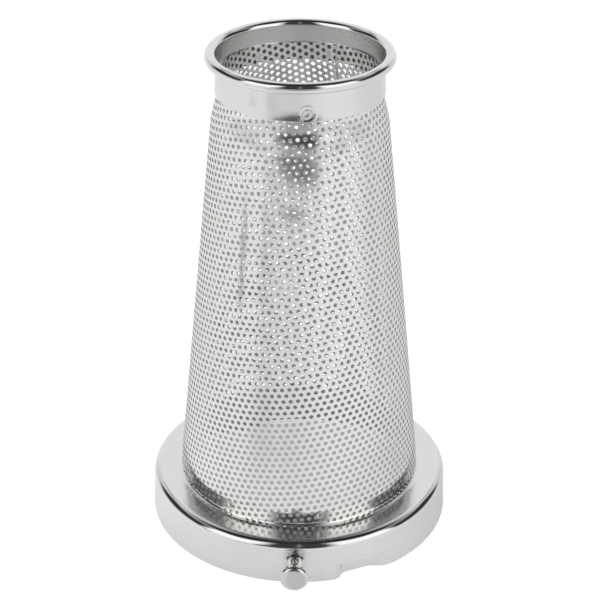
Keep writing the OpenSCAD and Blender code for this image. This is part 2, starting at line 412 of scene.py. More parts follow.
def build_collar():
    profile = collar_outline()
    tangent = np.roll(profile, -1, 0) - np.roll(profile, 1, 0)
    facing_out = tangent[:, 1] / (np.linalg.norm(tangent, axis=1) + 1e-12) > 0.5

    def move(radius, z, angle):
        """Sinks a ring round each weld in the wall, and adds slow waves to wall and bead."""
        on_wall = facing_out & (radius < wall_r(COLLAR_Z) + 0.05) & (z < WALL_TOP)
        distance = weld_distance(angle, z, radius, COLLAR_WELD_ANGLES, COLLAR_WELD_Z)
        turns = [abs(turn_from(angle, weld_angle)) for weld_angle in COLLAR_WELD_ANGLES]
        nearest = np.argmin(turns, 0)
        across = arc_from(angle, COLLAR_WELD_ANGLES[nearest], radius)
        bearing = np.arctan2(z - COLLAR_WELD_Z, across)
        # an uneven groove close to the nugget, a shallow sink, and a raised edge beyond
        groove_at = distance - 1.75 - 0.12 * np.sin(bearing * 2 + nearest)
        groove = -0.13 * np.exp(-((groove_at / 0.42) ** 2)) * (1 + 0.45 * np.sin(bearing + 2.2 + nearest))
        sink = 0.07 * np.exp(-((distance / 3.0) ** 2))
        edge = 0.05 * np.exp(-(((distance - 2.6) / 0.5) ** 2))
        ring = (groove - sink + edge) * np.array(COLLAR_WELD_FORCES)[nearest]
        wave = 0.016 * waves(angle, z, 21)
        bore_wave = np.where(z < WALL_TOP, 0.4 * wave, 0.0)
        shift_r = np.where(on_wall, ring + wave, bore_wave) - 0.01
        bead = z > BEAD_CENTRE[1] - BEAD_R - 0.1
        tilt = 0.012 * waves(angle, z * 0, 22) - 0.014
        bead_outside = bead & (radius > COLLAR_R + COLLAR_T + 0.05)
        return np.where(bead_outside, tilt, shift_r), np.where(bead, tilt, 0.0)

    zones = [(angle - 6.5, angle + 6.5) for angle in COLLAR_WELD_ANGLES]
    return swept("collar", profile, sweep_angles(1.2, 0.32, zones), move)


# ---------------------------------------------------------------- spot welds
NUGGET_FACE = [  # share of the radius, height: a low ring round a sunk face
    (0.0, -0.05), (0.12, -0.055), (0.24, -0.04), (0.36, 0.0), (0.48, 0.03), (0.6, 0.02),
    (0.72, 0.045), (0.82, 0.07), (0.91, 0.05), (0.975, 0.0), (1.0, -0.08),
]
NUGGET_BACK = [(1.0, 0.12), (0.9, 0.03), (0.6, 0.0), (0.3, 0.02)]


def nugget(rng, place, back_r, face_r, force):
    """One plug through the sheets, from radius back_r to face_r."""
    size = WELD_R * rng.uniform(0.94, 1.0) * (0.55 + 0.45 * force)
    phase = rng.uniform(0, 360)
    lean = rng.uniform(0.02, 0.04) * force
    profile = [
        (size * share, face_r + height * (0.3 + 0.7 * force) - 0.03 * (1 - force))
        for share, height in NUGGET_FACE
    ]
    profile += [(size, back_r + 0.3)]
    profile += [(size * share, back_r + height) for share, height in NUGGET_BACK]
    profile += [(0.0, back_r + 0.03)]

    def ripple(radius, length, angle):
        """A leaning, rippled face with two pits, and an uneven rim."""
        turn = np.radians(angle + phase)
        share = np.clip(radius / size, 0, 1)
        x = share * np.cos(turn)
        y = share * np.sin(turn)
        height = lean * x + 0.02 * np.sin(3 * turn + 5 * share) * share
        height -= 0.15 * force * np.exp(-((x - 0.35) ** 2 + (y + 0.15) ** 2) / 0.03)
        height -= 0.12 * force * np.exp(-((x + 0.3) ** 2 + (y - 0.3) ** 2) / 0.02)
        uneven = 0.035 * np.sin(2 * turn + 1) + 0.025 * np.sin(5 * turn)
        front = length > (back_r + face_r) / 2
        return radius * uneven * (share > 0.5), np.where(front, height, 0)

    angles = np.linspace(0, 360, 40, endpoint=False)
    return capped(np.array(profile)[::-1], angles, place, ripple)


def build_nuggets(name, angles, z, back_r, face_r, seed, forces):
    vertices = []
    faces = []
    base = 0
    rng = np.random.default_rng(seed)
    for angle, force in zip(angles, forces):
        points, new_faces = nugget(rng, spoke(angle, z), back_r, face_r, force)
        vertices.append(points)
        faces += [tuple(corner + base for corner in face) for face in new_faces]
        base += len(points)
    return new_object(name, np.concatenate(vertices), faces)


# ---------------------------------------------------------------- the screen's surface
# The sheet is developed flat round the cone's apex. "Height" is measured along the sheet.
SLOPE_SIN = math.sin(math.atan(TAPER))
SLOPE_COS = math.cos(math.atan(TAPER))
DEVELOP_Z = 15.95  # ring at sheet height 0
APEX = cone_r(DEVELOP_Z) / SLOPE_SIN  # distance of that ring from the apex
PITCH = 2.5
HOLE_R = 0.75
TILT = math.radians(6.5)  # of the hole rows
ORIGIN = (0.1, 44.0)  # a hole's centre on the flat sheet
LATTICE_REACH = 170  # holes each way from the origin
RIM_POINTS = 18  # round a hole
CELL_MARGIN = 1.6  # keeps cells that reach past the sheet's edges


def screen_outline():
    """The outer face, from its foot at the neck's bend up into the collar."""
    outline = arc(BEND_CENTRE, BEND_R - SEAT - SCREEN_T, 235, 180, 10)
    outline += [(BAND_R, NECK_TOP - 1.0)]
    band_step = cone_r(NECK_TOP + 1) - BAND_R
    outline += [(BAND_R + band_step * (i / 6) ** 1.5, NECK_TOP - 1 + i / 3) for i in range(1, 7)]
    straight = np.linspace(NECK_TOP + 3, COLLAR_Z - NARROWING_H, 24)
    outline += [(cone_r(z), z) for z in straight]
    for i in range(1, 25):
        share = i / 24
        z = COLLAR_Z - NARROWING_H * (1 - share)
        narrowing = (cone_r(COLLAR_Z) - TIP_R) * share * share * (3 - 2 * share)
        outline.append((cone_r(z) - narrowing, z))
    outline += [(TIP_R, LAP_TOP)]
    return np.array(outline)


outline = screen_outline()
outline_run = np.r_[0, np.cumsum(np.linalg.norm(np.diff(outline, axis=0), axis=1))]
SHEET_LEN = outline_run[-1]
straight_start = int(np.argmin(abs(outline[:, 1] - (NECK_TOP + 3))))
SHEET_LOW = (outline[straight_start, 1] - DEVELOP_Z) / SLOPE_COS - outline_run[straight_start]
SHEET_HIGH = SHEET_LOW + SHEET_LEN
fine_run = np.linspace(0, SHEET_LEN, 3000)
fine_outline = np.c_[
    np.interp(fine_run, outline_run, outline[:, 0]),
    np.interp(fine_run, outline_run, outline[:, 1]),
]
soften(fine_outline, 40)  # so that the normals turn smoothly
fine_tangent = np.gradient(fine_outline, axis=0)
fine_tangent /= np.linalg.norm(fine_tangent, axis=1)[:, None]


def along_sheet(height, values):
    """The two columns of a table over fine_run, read at a sheet height."""
    run = np.clip(height - SHEET_LOW, 0, SHEET_LEN)
    return np.interp(run, fine_run, values[:, 0]), np.interp(run, fine_run, values[:, 1])


def on_screen(angle, height, depth=0.0):
    """Point and outward normal at an angle and sheet height, depth below the outer face."""
    radius, z = along_sheet(height, fine_outline)
    tangent_r, tangent_z = along_sheet(height, fine_tangent)
    length = np.hypot(tangent_r, tangent_z)
    normal_r = tangent_z / length
    normal_z = -tangent_r / length
    points = turned(radius - depth * normal_r, angle, z - depth * normal_z)
    return points, turned(normal_r, angle, normal_z)


def rolled(flat_x, flat_y):
    """Angle and sheet height of a point on the flat sheet."""
    angle = np.degrees(np.arctan2(flat_x, APEX - flat_y)) / SLOPE_SIN
    return angle, APEX - np.hypot(flat_x, APEX - flat_y)


# ---------------------------------------------------------------- seam weld
def build_seam():
    """A bead along the screen's butt joint with a torch's crescents, closed at both ends."""
    rows = np.arange(SHEET_LOW + 0.05, SHEET_HIGH - 0.04, 0.16)
    half_ring = np.linspace(-1, 1, 9)
    ring = np.r_[half_ring, half_ring[::-1]]
    top = np.arange(len(ring)) < len(half_ring)
    height, across = np.meshgrid(rows, ring, indexing="ij")
    radius, _ = along_sheet(height, fine_outline)
    swell = np.degrees(0.06 / radius) * np.sin(height * 1.7 + np.sin(height * 0.37) * 3) * 0.8
    width = SEAM_HALF_ANGLE + np.degrees(0.07 / radius) + swell
    wander = np.degrees(0.05 / radius) * np.sin(height * 0.21)
    edge = np.sign(across) * (SEAM_HALF_ANGLE + np.degrees(0.10 / radius))
    angle = SEAM_ANGLE + across * width + wander
    angle = np.where(abs(across) > 0.99, SEAM_ANGLE + edge, angle)
    crown = 1 - across * across
    crescents = 0.03 * np.sin(TAU * (height + 0.5 * across * across) / 0.95)
    depth_top = -(0.09 * crown + crescents * crown) + 0.02
    depth_back = SCREEN_T + 0.07 * crown + 0.5 * crescents * crown - 0.02
    # the top is flat where it passes under the collar
    flat_len = LAP_TOP - COLLAR_Z + 0.4
    hidden = smooth_step((height - (SHEET_HIGH - flat_len)) / 0.8)
    depth = np.where(top, depth_top * (1 - hidden) + 0.02 * hidden, depth_back)
    points, _ = on_screen(angle.ravel(), height.ravel(), depth.ravel())
    size = len(ring)
    count = len(rows)
    faces = grid_quads(count, size, open_rows=True)[:, [0, 3, 2, 1]].tolist()
    faces.append(tuple(range(size))[::-1])
    faces.append(tuple((count - 1) * size + i for i in range(size)))
    return new_object("seam_weld", points, faces)


# ---------------------------------------------------------------- the screen's three sectors
# A sheet is (points as angle and height, triangles, each point's hole or -1).
DENTS = [  # angle, sheet height, radius, depth
    (3.0, 142.0, 5.5, -0.10), (8.5, 136.0, 4.0, 0.07), (-2.5, 133.0, 3.6, -0.06),
    (-6.0, 118.0, 4.0, -0.05), (10.0, 126.0, 5.0, 0.05), (-14.0, 108.0, 7.0, 0.05),
    (16.0, 98.0, 9.0, -0.05), (-20.0, 80.0, 10.0, 0.05), (5.0, 66.0, 12.0, -0.06),
    (30.0, 60.0, 10.0, 0.05), (-35.0, 100.0, 10.0, -0.05), (-8.0, 40.0, 11.0, 0.06),
]
SECTOR_CUTS = (-87.0, 33.0)


def hole_cell():
    """One cell: the hole's rim points, its hexagon's corners, and the triangles between."""
    step = 360 / RIM_POINTS
    rim = TILT + np.radians(step / 2 + step * np.arange(RIM_POINTS))
    corners = TILT + np.radians(30 + 60 * np.arange(6))
    points = np.r_[
        np.c_[np.cos(rim), np.sin(rim)] * HOLE_R,
        np.c_[np.cos(corners), np.sin(corners)] * PITCH / math.sqrt(3),
    ]
    triangles = []
    for h in range(6):
        # hexagon corner h stands at the same angle as rim point 1 + 3 h
        here = RIM_POINTS + h
        beyond = RIM_POINTS + (h + 1) % 6
        side = [(1 + 3 * h + i) % RIM_POINTS for i in range(4)]
        triangles += [(side[1], side[0], here), (side[2], side[1], here)]
        triangles += [(here, beyond, side[2]), (side[3], side[2], beyond)]
    return points, np.array(triangles)


def hole_lattice():
    """The sheet with its holes, reaching past its edges, and the holes' flat centres."""
    steps = np.arange(-LATTICE_REACH, LATTICE_REACH)
    i, j = np.meshgrid(steps, steps, indexing="ij")
    second = TILT + math.pi / 3
    flat_x = (ORIGIN[0] + PITCH * (i * math.cos(TILT) + j * math.cos(second))).ravel()
    flat_y = (ORIGIN[1] + PITCH * (i * math.sin(TILT) + j * math.sin(second))).ravel()
    angle, height = rolled(flat_x, flat_y)
    margin = np.degrees(CELL_MARGIN / ((APEX - height) * SLOPE_SIN))
    keep = (height > SHEET_LOW - CELL_MARGIN) & (height < SHEET_HIGH + CELL_MARGIN)
    keep &= (angle > SEAM_ANGLE - 360 - margin) & (angle < SEAM_ANGLE + margin)
    centres = np.c_[flat_x[keep], flat_y[keep]]
    count = len(centres)
    cell, cell_triangles = hole_cell()
    points = (centres[:, None, :] + cell[None]).reshape(-1, 2)
    triangles = np.arange(count)[:, None, None] * len(cell) + cell_triangles[None]
    holes = np.repeat(np.arange(count), len(cell)).reshape(count, -1)
    holes[:, RIM_POINTS:] = -1
    # neighbouring cells share their hexagon corners
    key = np.round(points * 1e5).astype(np.int64)
    _, first, inverse = np.unique(key, axis=0, return_index=True, return_inverse=True)
    triangles = inverse.ravel()[triangles.reshape(-1, 3)]
    points = points[first]
    sheet = (np.c_[rolled(points[:, 0], points[:, 1])], triangles, holes.ravel()[first])
    return sheet, centres


def trim(sheet, axis, bound, side):
    """Keeps side * (coordinate - bound) <= 0. New points on shared edges are made once."""
    points, triangles, holes = sheet
    distance = side * (points[:, axis] - bound)
    distance[abs(distance) < 1e-7] = 0
    out = distance > 0
    out_count = out[triangles].sum(1)
    made = {}
    new_points = []
    new_holes = []
    new_triangles = []

    def cut(start, end):
        edge = (min(start, end), max(start, end))
        if edge not in made:
            start, end = edge
            share = distance[start] / (distance[start] - distance[end])
            point = points[start] + (points[end] - points[start]) * share
            point[axis] = bound
            made[edge] = len(points) + len(new_points)
            new_points.append(point)
            new_holes.append(holes[start] if holes[start] == holes[end] else -1)
        return made[edge]

    for triangle in triangles[(out_count > 0) & (out_count < 3)]:
        polygon = []
        for i in range(3):
            start = int(triangle[i])
            end = int(triangle[(i + 1) % 3])
            if not out[start]:
                polygon.append(start)
            if out[start] != out[end] and distance[start] != 0 and distance[end] != 0:
                polygon.append(cut(start, end))
        for i in range(1, len(polygon) - 1):
            new_triangles.append((polygon[0], polygon[i], polygon[i + 1]))
    return (
        np.r_[points, np.array(new_points)],
        np.concatenate([triangles[out_count == 0], np.array(new_triangles)]),
        np.r_[holes, np.array(new_holes)],
    )


def relief(angle, height):
    """Slow rolling waves, dents, and a shallow sink round each weld at the foot."""
    radius, z = along_sheet(height, fine_outline)
    lift = 0.035 * waves(angle, height, 31) * smooth_step((z - PLATE_Z - 8) / 12)
    lift = lift * (1 - smooth_step((z - COLLAR_Z + 7) / 5))
    below_collar = 1 - smooth_step((z - COLLAR_Z + 4) / 3)
    for dent_angle, dent_height, size, depth in DENTS:
        x = arc_from(angle, dent_angle, radius)
        bump = np.exp(-(x * x + (height - dent_height) ** 2) / (size * size))
        lift = lift + depth * bump * below_collar
    distance = weld_distance(angle, z, radius, NECK_WELD_ANGLES, NECK_WELD_Z)
    return lift - 0.07 * np.exp(-((distance / 2.6) ** 2))


def relief_normals(angle, height, normals):
    """The normals leaned by the slope of the relief."""
    step = 0.05
    radius, _ = along_sheet(height, fine_outline)
    turn_step = np.degrees(step / radius)
    slope_up = (relief(angle, height + step) - relief(angle, height - step)) / (2 * step)
    slope_round = relief(angle + turn_step, height) - relief(angle - turn_step, height)
    slope_round = slope_round / (2 * step)
    turn = np.radians(angle)
    way_round = np.stack([np.cos(turn), np.sin(turn), 0 * turn], -1)
    way_up = np.cross(normals, way_round)
    way_up *= np.sign(way_up[:, 2:3])
    leaned = normals - slope_up[:, None] * way_up - slope_round[:, None] * way_round
    return leaned / np.linalg.norm(leaned, axis=1)[:, None]


def sheet_object(name, sheet, centres):
    """A closed sheet of even thickness, with smooth faces and round hole walls."""
    points, triangles, holes = sheet
    used, inverse = np.unique(triangles, return_inverse=True)
    triangles = inverse.reshape(-1, 3)
    angle, height = points[used].T
    holes = holes[used]
    count = len(used)
    outer, normals = on_screen(angle, height)
    inner, _ = on_screen(angle, height, SCREEN_T)
    lift = normals * relief(angle, height)[:, None]
    outer = outer + lift
    inner = inner + lift
    normals = relief_normals(angle, height, normals)
    # walls stand on the edges that belong to one triangle only
    edges = np.concatenate([triangles[:, [0, 1]], triangles[:, [1, 2]], triangles[:, [2, 0]]])
    code = edges.min(1).astype(np.int64) * count + edges.max(1)
    _, index, uses = np.unique(code, return_index=True, return_counts=True)
    start, end = edges[index[uses == 1]].T
    walls = np.c_[start, start + count, end + count, end]
    back = triangles[:, ::-1]
    faces = triangles.tolist() + (back + count).tolist() + walls.tolist()
    # wall normals: towards the hole's axis on a hole, square to the cut elsewhere
    square = np.cross(inner[start] - outer[start], outer[end] - outer[start])
    square /= np.linalg.norm(square, axis=1)[:, None] + 1e-12
    wall_normals = np.repeat(square[:, None, :], 4, 1)
    on_hole = (holes[start] >= 0) & (holes[start] == holes[end])
    centre = centres[holes[start[on_hole]]]
    axis_point, axis = on_screen(*rolled(centre[:, 0], centre[:, 1]))
    for corner, vertex in enumerate((start, start, end, end)):
        inward = axis_point - outer[vertex[on_hole]]
        inward -= axis * (inward * axis).sum(1)[:, None]
        inward /= np.linalg.norm(inward, axis=1)[:, None] + 1e-12
        wall_normals[on_hole, corner] = inward
    corner_normals = np.concatenate(
        [normals[triangles.ravel()], -normals[back.ravel()], wall_normals.reshape(-1, 3)]
    )
    return new_object(name, np.r_[outer, inner], faces, corner_normals)


def build_screens():
    sheet, centres = hole_lattice()
    sheet = trim(sheet, 1, SHEET_LOW, -1)
    sheet = trim(sheet, 1, SHEET_HIGH, 1)
    sheet = trim(sheet, 0, SEAM_ANGLE - 360 + SEAM_HALF_ANGLE, -1)
    sheet = trim(sheet, 0, SEAM_ANGLE - SEAM_HALF_ANGLE, 1)
    screens = []
    for i, name in enumerate(("screen_left", "screen_front", "screen_right")):
        sector = sheet
        if i > 0:
            sector = trim(sector, 0, SECTOR_CUTS[i - 1], -1)
        if i < 2:
            sector = trim(sector, 0, SECTOR_CUTS[i], 1)
        screens.append(sheet_object(name, sector, centres))
    return screens


# ---------------------------------------------------------------- grip knob
KNOB_ANGLE = -1.5
KNOB_LEN = 10.1
KNOB_SEAT_R = float(skirt_r(KNOB_Z))
KNOB_FOOT = [  # radius, length out from the skirt: the part behind the sheet, then the foot
    (0.0, -2.06), (1.2, -2.05), (2.0, -1.98), (2.7, -1.72), (3.15, -1.45), (3.38, -1.15),
    (3.4, -0.98), (3.2, -0.93), (2.25, -0.92), (2.25, 0.0), (3.5, 0.02), (3.68, 0.05),
    (3.735, 0.12), (3.74, 0.2), (3.70, 0.32), (3.59, 0.53), (3.46, 0.78), (3.36, 0.96),
    (3.30, 1.06), (3.28, 1.11), (3.31, 1.16),
]


def build_knob():
    head = KNOB_LEN - 2.8  # back of the head
    profile = list(KNOB_FOOT)
    for angle in (155, 135, 115, 90, 65, 40, 15):  # rounded collar
        radius = 3.22 + 0.28 * math.sin(math.radians(angle))
        profile.append((radius, 1.5 - 0.33 * math.cos(math.radians(180 - angle))))
    for share in np.linspace(0, 1, 18):  # waisted stem
        off_middle = abs(2 * share - 1)
        radius = 3.2 + 0.13 * off_middle**2.5 - 0.12 * (1 - off_middle**2)
        profile.append((radius, 1.92 + (head - 2.02) * share))
    profile += [
        (3.5, head - 0.05), (3.9, head - 0.01), (HEAD_R - 0.5, head + 0.02),
        (HEAD_R - 0.22, head + 0.08), (HEAD_R - 0.07, head + 0.2), (HEAD_R, head + 0.38),
    ]
    profile += column(HEAD_R, (head + 0.6, head + 0.9, KNOB_LEN - 1.62, KNOB_LEN - 1.5))
    for angle in np.linspace(0, 90, 17):  # the head's domed edge
        turn = math.radians(angle)
        dome_r = HEAD_R - 1.8 * (1 - math.cos(turn))
        profile.append((dome_r, KNOB_LEN - 1.45 + 1.45 * math.sin(turn)))
    profile += [(radius, KNOB_LEN) for radius in (2.85, 2.5, 1.9, 1.3, 0.6, 0.0)]
    placed = np.array([(radius, KNOB_SEAT_R + length) for radius, length in profile])
    angles = np.linspace(0, 360, 128, endpoint=False)
    return new_object("knob", *capped(placed, angles, spoke(KNOB_ANGLE, KNOB_Z)))


flange = build_flange()
collar = build_collar()
collar_welds = build_nuggets(
    "collar_welds", COLLAR_WELD_ANGLES, COLLAR_WELD_Z, back_r=TIP_R - SCREEN_T - 0.02,
    face_r=wall_r(COLLAR_WELD_Z) - 0.07, seed=5, forces=COLLAR_WELD_FORCES,
)
neck_welds = build_nuggets(
    "neck_welds", NECK_WELD_ANGLES, NECK_WELD_Z, back_r=NECK_R - FLANGE_T - 0.02,
    face_r=BAND_R - 0.05, seed=6, forces=[0.8] * len(NECK_WELD_ANGLES),
)
seam = build_seam()
screens = build_screens()
knob = build_knob()


# ---------------------------------------------------------------- node graphs
class Wire:
    """A node's output. Arithmetic on it adds math nodes to its graph."""

    def __init__(self, graph, socket):
        self.graph = graph
        self.socket = socket

    def __add__(self, other):
        return self.graph.math("ADD", self, other)

    def __radd__(self, other):
        return self.graph.math("ADD", other, self)

    def __sub__(self, other):
        return self.graph.math("SUBTRACT", self, other)

    def __rsub__(self, other):
        return self.graph.math("SUBTRACT", other, self)

    def __mul__(self, other):
        return self.graph.math("MULTIPLY", self, other)

    def __rmul__(self, other):
        return self.graph.math("MULTIPLY", other, self)


class Graph:
    """The emptied node tree of a material or world."""

    def __init__(self, owner):
        owner.use_nodes = True
        self.tree = owner.node_tree
        self.tree.nodes.clear()

    def node(self, kind, inputs, **properties):
        """A node whose inputs, by name or index, are wires or values."""
        node = self.tree.nodes.new(kind)
        for name, value in properties.items():
            setattr(node, name, value)
        for key, value in inputs.items():
            if isinstance(value, Wire):
                self.tree.links.new(value.socket, node.inputs[key])
            else:
                node.inputs[key].default_value = value
        return node

    def wire(self, kind, inputs, output=0, **properties):
        return Wire(self, self.node(kind, inputs, **properties).outputs[output])

    def math(self, operation, *values):
        return self.wire("ShaderNodeMath", dict(enumerate(values)), operation=operation)

    def combine(self, kind, *values):
        return self.wire(kind, dict(enumerate(values)))

    def split(self, vector):
        node = self.node("ShaderNodeSeparateXYZ", {0: vector})
        return [Wire(self, socket) for socket in node.outputs]

    def noise(self, vector, scale, detail, roughness, distortion=0.0):
        inputs = {"Vector": vector, "Scale": scale, "Detail": detail}
        inputs |= {"Roughness": roughness, "Distortion": distortion}
        return self.wire("ShaderNodeTexNoise", inputs, output="Fac")

    def fade(self, value, centre, soft, limits):
        inputs = {"Value": value, "From Min": centre - soft, "From Max": centre + soft}
        inputs |= limits
        return self.wire("ShaderNodeMapRange", inputs, interpolation_type="SMOOTHSTEP")

    def band(self, value, start, end, soft):
        """1 between start and end, falling to 0 over soft on both sides."""
        rise = self.fade(value, start, soft, {})
        return rise * self.fade(value, end, soft, {"To Min": 1.0, "To Max": 0.0})

    def mix(self, factor, start, end):
        """start where factor is 0, end where it is 1."""
        return start + factor * self.math("SUBTRACT", end, start)

    def degrees(self, operation, *values):
        return self.math(operation, *values) * (180 / math.pi)

    def output(self, kind, shader):
        self.node(kind, {0: shader})


# ---------------------------------------------------------------- steel
def steel(
    name, tone, rough, lines=0.0, line_freq=2600.0, swirl=4.0, grain=0.25, orange=0.0,
    spread=0.06, zones=(), on_knob=False, heat_spot=None, warm=0.0,
):
    """Bare stainless steel.

    tone is its reflectance, lines the strength of the fine turning lines, line_freq how close
    they lie and swirl how they vary round the circle, grain the rolled sheet's grain, orange
    the polish's slow unevenness, spread the roughness's variation, warm a shift to yellow.
    zones: (z, y or r, start, end, fade, roughness, tone factor, lines factor). A "lap" zone
    lies inside the radius start and below the height end; its tone factor paints the shade of a
    crevice there. heat_spot: (angle, radius, z, size).
    """
    material = bpy.data.materials.new(name)
    graph = Graph(material)
    position = graph.wire("ShaderNodeTexCoord", {}, output="Object")
    x, y, z = graph.split(position)
    # the knob is turned about its own axis, which lies along Y
    side, along = (z - KNOB_Z * MM, y) if on_knob else (y, z)
    radius = graph.math("SQRT", x * x + side * side)
    least_r = 0.0004 if on_knob else 0.001
    inverse = graph.math("DIVIDE", 1.0, graph.math("MAXIMUM", radius, least_r))
    unit_x = x * inverse
    unit_y = side * inverse
    axis = along + radius

    def stretched(x_part, y_part, z_part):
        return graph.combine("ShaderNodeCombineXYZ", x_part, y_part, z_part)

    # lines round the axis: slow along the circle, quick across it
    ring = stretched(unit_x * swirl, unit_y * swirl, axis * line_freq)
    fine_lines = graph.noise(ring, scale=1.0, detail=3.0, roughness=0.6)
    ring = stretched(unit_x * (swirl * 0.4), unit_y * (swirl * 0.4), axis * (line_freq * 0.17))
    broad_lines = graph.noise(ring, scale=1.0, detail=2.0, roughness=0.5)
    grains = graph.noise(position, scale=3400.0, detail=3.0, roughness=0.65)
    slow = graph.noise(position, scale=55.0, detail=3.0, roughness=0.55, distortion=0.4)
    blotches = graph.noise(position, scale=160.0, detail=4.0, roughness=0.6, distortion=0.8)
    # hairline scratches: a slanted, stretched noise kept only at its peaks
    slanted = stretched((x + z * 0.35) * 2200.0, y * 900.0, z * 110.0)
    peaks = graph.noise(slanted, scale=1.0, detail=2.0, roughness=0.5) - 0.66
    scratches = graph.math("SMOOTH_MAX", peaks, 0.0, 0.02)

    shade = tone
    line_force = lines
    for measure, start, end, soft, zone_rough, tone_factor, line_factor in zones:
        # painted shade: a lap zone darkens a face where another sheet lies close over it
        if measure == "lap":
            inside = graph.band(radius, 0.0, start * MM, 0.02 * MM)
            zone = inside * graph.band(z, 0.0, end * MM, soft * MM)
        else:
            value = {"z": z, "r": radius, "y": y}[measure]
            zone = graph.band(value, start * MM, end * MM, soft * MM)
        rough = graph.mix(zone, rough, zone_rough)
        shade = graph.mix(zone, shade, tone * tone_factor)
        line_force = graph.mix(zone, line_force, lines * line_factor)

    rough = rough + (slow - 0.5) * spread
    rough = rough + (blotches - 0.5) * (spread * 0.6)
    rough = rough + scratches * 0.5
    rough = graph.math("MAXIMUM", rough, 0.02)
    shade = shade * (1.0 + (blotches - 0.5) * 0.07)
    shade = shade * (1.0 + (broad_lines - 0.5) * graph.math("MULTIPLY", line_force, 0.10))
    if heat_spot:
        spot_angle, spot_r, spot_z, spot_size = heat_spot
        turn = math.radians(spot_angle)
        off_x = x - spot_r * MM * math.sin(turn)
        off_y = y + spot_r * MM * math.cos(turn)
        off_z = z - spot_z * MM
        distance = graph.math("SQRT", off_x * off_x + off_y * off_y + off_z * off_z)
        heat = graph.band(distance, -1.0, spot_size * MM, 0.35 * MM)
        shade = shade * (1.0 - heat * 0.22)
        rough = rough + heat * 0.10
    tints = (1.0 + 0.010 + warm, 1.0, 0.988 - warm)
    colour = graph.combine("ShaderNodeCombineColor", *[shade * tint for tint in tints])

    height = fine_lines * graph.math("MULTIPLY", line_force, 1.0)
    height = height + broad_lines * graph.math("MULTIPLY", line_force, 1.6)
    height = height + grains * grain
    height = height - scratches * 1.2
    inputs = {"Strength": 1.0, "Distance": 0.0000045, "Height": height}
    normal = graph.wire("ShaderNodeBump", inputs)
    if orange:
        uneven = graph.noise(position, scale=210.0, detail=1.0, roughness=0.4)
        inputs = {"Strength": 1.0, "Distance": 0.00001 * orange, "Height": uneven}
        normal = graph.wire("ShaderNodeBump", inputs | {"Normal": normal})
    inputs = {"Metallic": 1.0, "Base Color": colour, "Roughness": rough, "Normal": normal}
    shader = graph.wire("ShaderNodeBsdfPrincipled", inputs)
    graph.output("ShaderNodeOutputMaterial", shader)
    return material


flange_steel = steel(
    "pressed_steel", tone=0.80, rough=0.19, lines=0.12, line_freq=1800.0, grain=0.05,
    orange=0.6, spread=0.05,
    zones=[  # shoulder, skirt, neck
        ("z", PLATE_Z - SHOULDER_R - 0.3, PLATE_Z - 0.25, 0.2, 0.07, 1.0, 0.3),
        ("z", -1.0, SKIRT_TOP - 0.1, 0.25, 0.27, 1.0, 2.5),
        ("z", NECK_TOP - 5.6, NECK_TOP + 1, 0.3, 0.5, 1.0, 3.0),
    ],
)
screen_steel = steel(
    "perforated_sheet", tone=0.84, rough=0.125, grain=0.35, orange=3.2, spread=0.08
)
collar_steel = steel(
    "collar_steel_finish", tone=0.80, rough=0.17, lines=0.35, line_freq=2200.0, grain=0.10,
    orange=0.5, spread=0.05,
    zones=[  # bead, lower wall, bore, and painted shade on the bore's lap over the screen
        ("z", BEAD_CENTRE[1] - BEAD_R - 0.2, TOP_Z + 1, 0.15, 0.055, 1.0, 0.15),
        ("z", 100.0, COLLAR_WELD_Z, 0.9, 0.11, 1.0, 0.7),
        ("r", 20.0, COLLAR_R + 0.05, 0.1, 0.30, 1.08, 2.0),
        # painted shade: the bore is darkened where it laps the screen, so the holes under it look dark as
        # in a shaded crevice
        ("lap", COLLAR_R + 0.06, LAP_TOP - 0.1, 0.1, 0.5, 0.30, 1.0),
    ],
    heat_spot=(COLLAR_WELD_ANGLES[0], COLLAR_R + COLLAR_T + 0.1, COLLAR_WELD_Z, 2.0),
)
knob_steel = steel(
    "turned_steel", tone=0.80, rough=0.09, lines=0.5, line_freq=3200.0, swirl=2.0, grain=0.1,
    spread=0.05, on_knob=True,
    zones=[  # the head's domed edge, its end face
        ("y", -80.0, -(KNOB_SEAT_R + KNOB_LEN - 1.35), 0.35, 0.16, 0.92, 1.2),
        ("y", -80.0, -(KNOB_SEAT_R + KNOB_LEN - 0.10), 0.05, 0.36, 0.76, 1.6),
    ],
)
weld_steel = steel(
    "weld_metal", tone=0.74, rough=0.2, grain=0.5, orange=0.5, spread=0.10, warm=0.008
)

PIECES = [  # object, material, slot, CAD piece it replaces
    (flange, flange_steel, "flange_steel", "base_flange"),
    *[(screen, screen_steel, "screen_steel", "screen_cone") for screen in screens],
    (collar, collar_steel, "collar_steel", "outlet_collar"),
    (knob, knob_steel, "knob_steel", "grip_knob"),
    (collar_welds, weld_steel, "weld_steel", "collar_spot_welds"),
    (neck_welds, weld_steel, "weld_steel", "neck_spot_welds"),
    (seam, weld_steel, "weld_steel", "screen_seam_weld"),
]
for piece, material, slot_name, cad_piece in PIECES:
    piece.data.materials.append(material)
    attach(piece, "root")
    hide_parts(cad_piece)


# ---------------------------------------------------------------- floor, in metres
# how light the table looks from the metal: (direction from the axis, strength)
FAR_GLOW = [
    (-180, 0.88), (-150, 0.93), (-75, 0.98), (-48, 0.95), (-40, 0.79), (-33, 0.73),
    (-26, 0.77), (-18, 0.82), (-10, 0.79), (-3, 0.82), (8, 0.90), (25, 0.98), (50, 1.0),
    (68, 0.95), (90, 0.84), (130, 0.80), (160, 0.86), (180, 0.88),
]
NEAR_GLOW = [
    (-180, 0.80), (-120, 0.86), (-80, 0.96), (-30, 0.86), (0, 0.85), (32, 0.88), (60, 0.78),
    (84, 0.68), (130, 0.72), (180, 0.80),
]


def plane(name, corners):
    mesh = bpy.data.meshes.new(name)
    mesh.from_pydata(corners, [], [(0, 1, 2, 3)])
    return bpy.data.objects.new(name, mesh)


